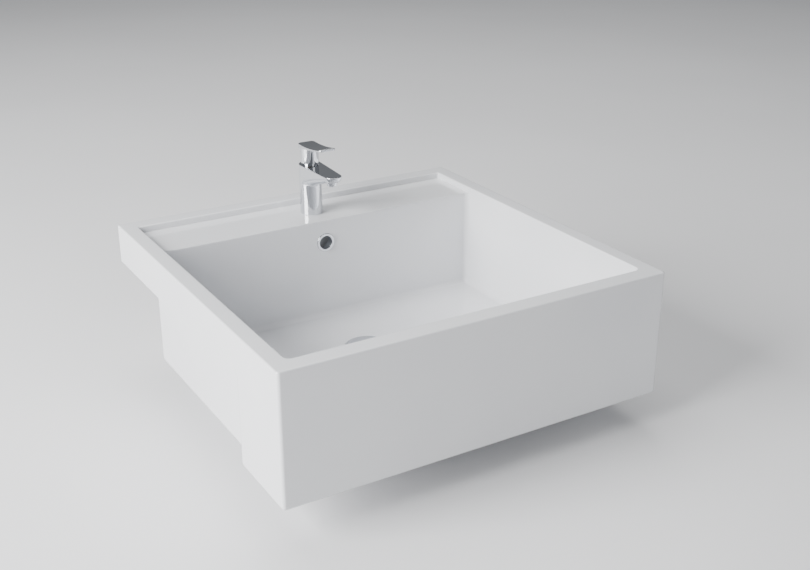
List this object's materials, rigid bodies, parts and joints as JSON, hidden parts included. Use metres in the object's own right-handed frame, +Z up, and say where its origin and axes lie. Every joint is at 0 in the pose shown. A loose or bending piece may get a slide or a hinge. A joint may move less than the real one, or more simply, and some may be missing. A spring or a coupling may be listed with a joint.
{
  "type": "semi-recessed basin",
  "caption": "Square semi-recessed ceramic basin with a deep front apron, a tap ledge, a single-lever mixer, an overflow ring and a click-clack waste.",
  "frame": {"origin": "middle of the back rest strip, on the plane of the worktop that carries the basin", "axes": "+Z up, -Y towards the user, +X to the right as the user faces the basin"},
  "size_m": [0.6, 0.586, 0.3565],
  "materials": {
    "glaze": "gloss",
    "chrome": "polished",
    "chrome_dull": "satin",
    "steel": "bright zinc",
    "brass": "machined",
    "rubber": "moulded",
    "white_plastic": "moulded",
    "alumina": "lapped",
    "indicator": "moulded"
  },
  "bodies": {
    "fixed": {"basin": "glaze", "overflow_ring": "chrome", "waste_body": "chrome", "waste_flange_seal": "rubber", "waste_under_seal": "rubber", "waste_backnut": "chrome_dull", "click_body": "white_plastic", "click_spring": "steel", "tap_body": "chrome", "base_seal": "rubber", "fixing_stud": "steel", "fixing_gasket": "rubber", "fixing_washer": "steel", "fixing_nut": "brass", "aerator_collar": "chrome", "aerator_insert": "white_plastic", "aerator_washer": "rubber", "cartridge_base": "white_plastic", "port_seals": "rubber", "cartridge_housing": "white_plastic", "housing_seal": "rubber", "fixed_disc": "alumina", "retaining_nut": "chrome"},
    "swivel": {"spindle_guide": "white_plastic", "spindle_pin": "steel"},
    "lever": {"handle": "chrome", "handle_screw": "steel", "screw_cover": "indicator", "spindle": "brass"},
    "disc": {"moving_disc": "alumina", "disc_carrier": "white_plastic"},
    "plug": {"plug_cap": "chrome", "plug_seal": "rubber", "plug_stem": "steel"}
  },
  "joints": [
    {"name": "handle_swivel", "type": "hinge", "parent": "fixed", "child": "swivel", "pos_m": [0, -0.069, 0.1255], "axis": [0, 0, 1], "range_deg": [-45, 45]},
    {"name": "handle_tilt", "type": "hinge", "parent": "swivel", "child": "lever", "pos_m": [0, -0.069, 0.1255], "axis": [-1, 0, 0], "range_deg": [0, 22]},
    {"name": "disc_slide", "type": "slide", "parent": "swivel", "child": "disc", "axis": [0, -1, 0], "range_m": [0, 0.0024]},
    {"name": "plug_rise", "type": "slide", "parent": "fixed", "child": "plug", "axis": [0, 0, 1], "range_m": [0, 0.008], "deforming": ["click_spring"]}
  ],
  "couplings": [
    {"joint": "disc_slide", "follows": "handle_tilt", "m_per_rad": 0.006}
  ]
}
